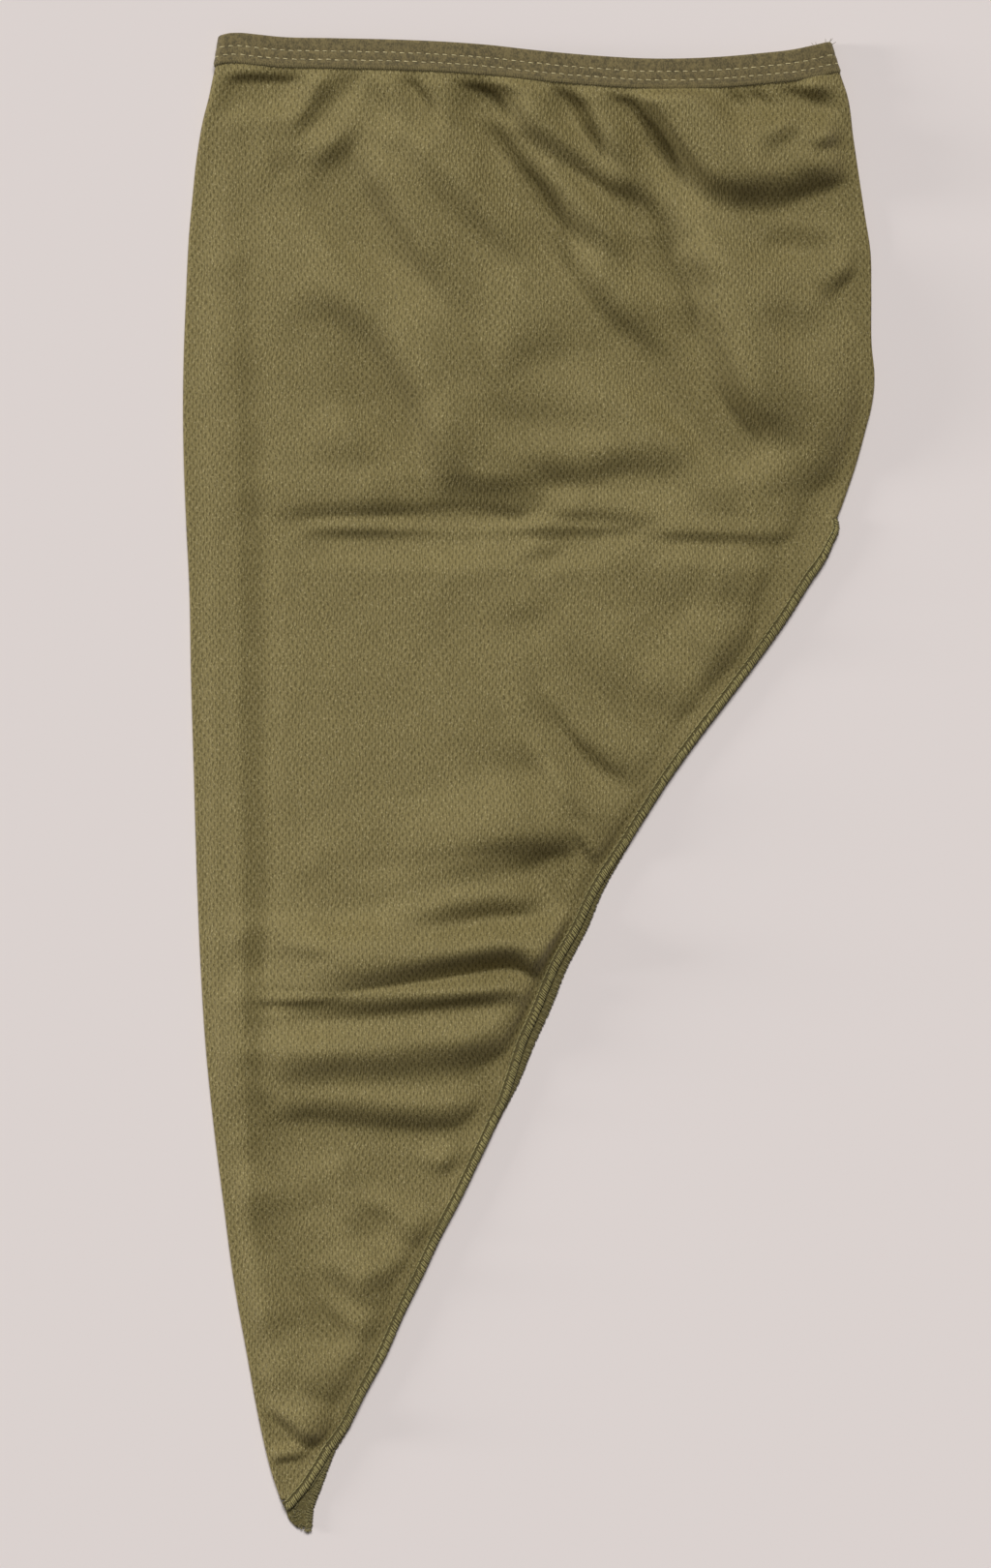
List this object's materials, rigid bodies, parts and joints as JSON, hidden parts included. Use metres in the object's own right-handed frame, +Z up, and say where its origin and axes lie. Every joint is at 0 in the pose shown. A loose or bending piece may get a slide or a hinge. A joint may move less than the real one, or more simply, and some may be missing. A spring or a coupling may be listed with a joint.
{
  "type": "tube scarf with pointed drop",
  "caption": "Neck tube of open mesh cloth lying flat, with a folded elastic band at the top and a long slanted overlocked edge that ends in a point.",
  "frame": {"origin": "centre of the bounding box in X and Y, on the surface that the scarf lies on", "axes": "+Z up out of the surface, +Y along the length from the tip towards the band, +X across, from the folded side towards the seamed side"},
  "size_m": [0.2432, 0.5264, 0.0124],
  "materials": {
    "mesh_cloth": "olive drab polyester mesh knit with a soft satin sheen",
    "band_cloth": "matte ribbed elastic binding, slightly greyer than the mesh",
    "upper_edge_thread": "pale olive overlock thread",
    "lower_edge_thread": "olive overlock thread, wrong side out"
  },
  "bodies": {
    "root": {"panel": "mesh_cloth", "top_band": "band_cloth", "hem_front": "upper_edge_thread", "hem_back": "lower_edge_thread"}
  },
  "joints": []
}
